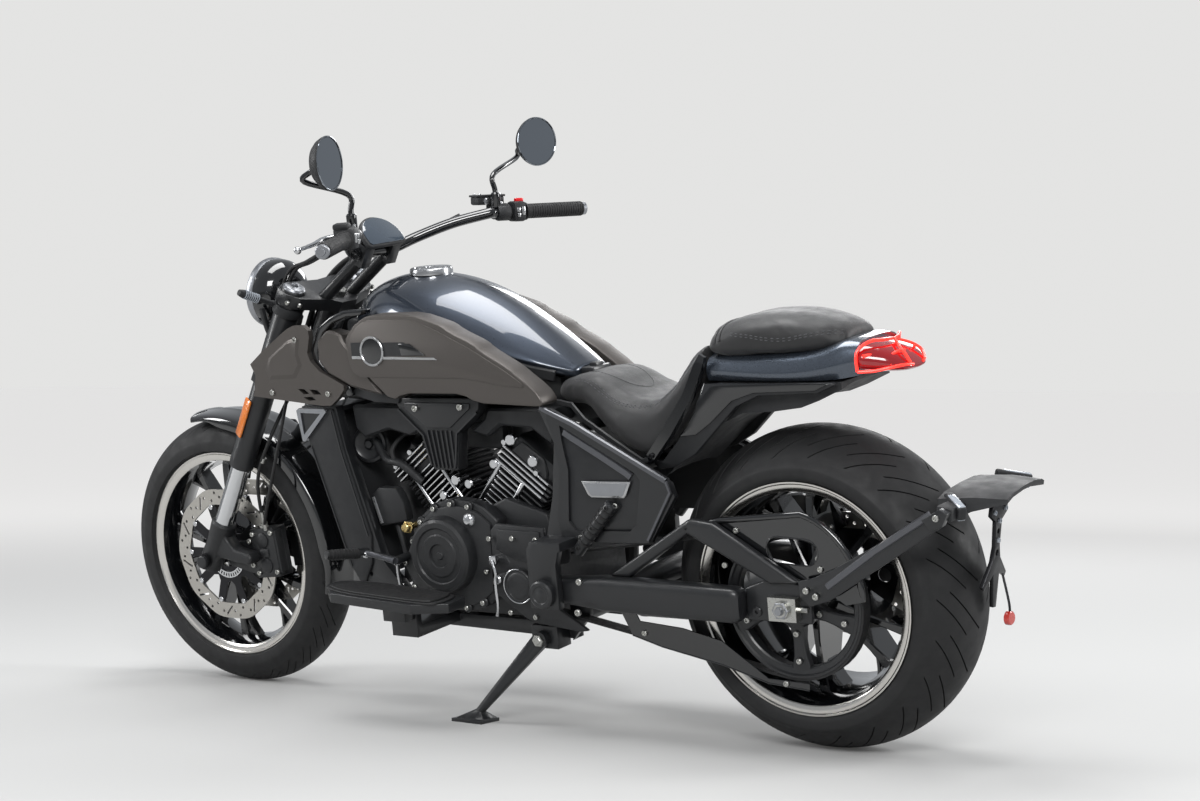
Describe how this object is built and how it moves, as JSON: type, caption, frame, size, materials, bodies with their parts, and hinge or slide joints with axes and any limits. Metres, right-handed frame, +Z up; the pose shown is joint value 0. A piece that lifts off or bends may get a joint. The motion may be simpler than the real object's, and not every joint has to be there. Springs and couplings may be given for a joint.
{
  "type": "cruiser motorcycle",
  "caption": "Cruiser motorcycle with a V-twin engine, fat rear tyre, belt drive and wide bars, leaning on its side stand; steering, wheels and stand move.",
  "frame": {"origin": "On the ground, at the middle of the machine's bounding box as it stands leaning on its side stand.", "axes": "+X is ahead, +Y is to the rider's left and +Z is up. The machine leans 9 degrees to the left, so its wheel axles run along (0, 0.988, -0.156)."},
  "size_m": [2.34, 0.9162, 1.3273],
  "materials": {
    "satin_black_metal": "satin black powder coat",
    "crackle_black_alloy": "black crackle finish on cast alloy",
    "gloss_black_paint": "deep gloss black",
    "blue_grey_paint": "metallic blue-grey gloss lacquer",
    "matt_grey_paint": "matt brownish-grey metallic paint",
    "matt_black_plastic": "moulded grain",
    "gloss_black_plastic": "smooth gloss",
    "seat_vinyl": "fine-grain black vinyl",
    "red_lens": "clear red lens",
    "belt_rubber": "matt toothed belt",
    "tyre_rubber": "matt tread rubber",
    "bare_steel": "turned steel",
    "disc_steel": "ground brake steel",
    "dark_pipe": "satin black heat-proof coat"
  },
  "bodies": {
    "chassis": {"backbone": "satin_black_metal", "side_plates": "satin_black_metal", "down_frame": "satin_black_metal", "radiator": "matt_black_plastic", "lower_cradle": "satin_black_metal", "engine_block": "crackle_black_alloy", "engine_covers": "crackle_black_alloy", "front_cylinder": "crackle_black_alloy", "rear_cylinder": "crackle_black_alloy", "air_cover": "matt_black_plastic", "exhaust": "dark_pipe", "fuel_tank": "blue_grey_paint", "tank_panels": "matt_grey_paint", "head_shrouds": "matt_grey_paint", "rider_seat": "seat_vinyl", "pillion_seat": "seat_vinyl", "tail_cowl": "blue_grey_paint", "tail_lamp": "red_lens", "tail_sides": "gloss_black_paint", "rear_mudguard": "matt_black_plastic", "swingarm": "satin_black_metal", "rear_axle": "bare_steel", "drive_belt": "belt_rubber", "belt_guards": "gloss_black_paint", "rear_caliper": "satin_black_metal", "plate_arm": "matt_black_plastic", "plate_holder": "matt_black_plastic", "footboards": "satin_black_metal", "shift_lever": "satin_black_metal", "brake_pedal": "satin_black_metal", "passenger_pegs": "satin_black_metal"},
    "steering": {"fork_yokes": "satin_black_metal", "fork_legs": "satin_black_metal", "front_axle": "bare_steel", "front_fender": "gloss_black_paint", "headlamp": "gloss_black_plastic", "handlebar": "gloss_black_paint", "left_controls": "matt_black_plastic", "right_controls": "matt_black_plastic", "dash": "gloss_black_plastic", "mirrors": "matt_black_plastic", "front_indicators": "matt_black_plastic", "front_calipers": "satin_black_metal", "hoses_and_cables": "belt_rubber"},
    "front_wheel": {"front_tyre": "tyre_rubber", "front_rim": "gloss_black_paint", "front_discs": "disc_steel"},
    "rear_wheel": {"rear_tyre": "tyre_rubber", "rear_rim": "gloss_black_paint", "rear_pulley": "satin_black_metal", "rear_disc": "disc_steel"},
    "side_stand": {"side_stand": "satin_black_metal"}
  },
  "joints": [
    {"name": "steering", "type": "hinge", "parent": "chassis", "child": "steering", "pos_m": [0.981, -0.15909, 0.00162], "axis": [-0.4848, 0.1368, 0.8639], "range_deg": [-33, 33]},
    {"name": "front_wheel_spin", "type": "hinge", "parent": "steering", "child": "front_wheel", "pos_m": [0.851, -0.10915, 0.31694], "axis": [0, 0.9877, -0.1564], "continuous": true},
    {"name": "rear_wheel_spin", "type": "hinge", "parent": "chassis", "child": "rear_wheel", "pos_m": [-0.739, -0.10841, 0.32164], "axis": [0, 0.9877, -0.1564], "continuous": true},
    {"name": "stand_swing", "type": "hinge", "parent": "chassis", "child": "side_stand", "pos_m": [-0.139, 0.03834, 0.18702], "axis": [0, 0.9877, -0.1564], "range_deg": [0, 120]}
  ]
}
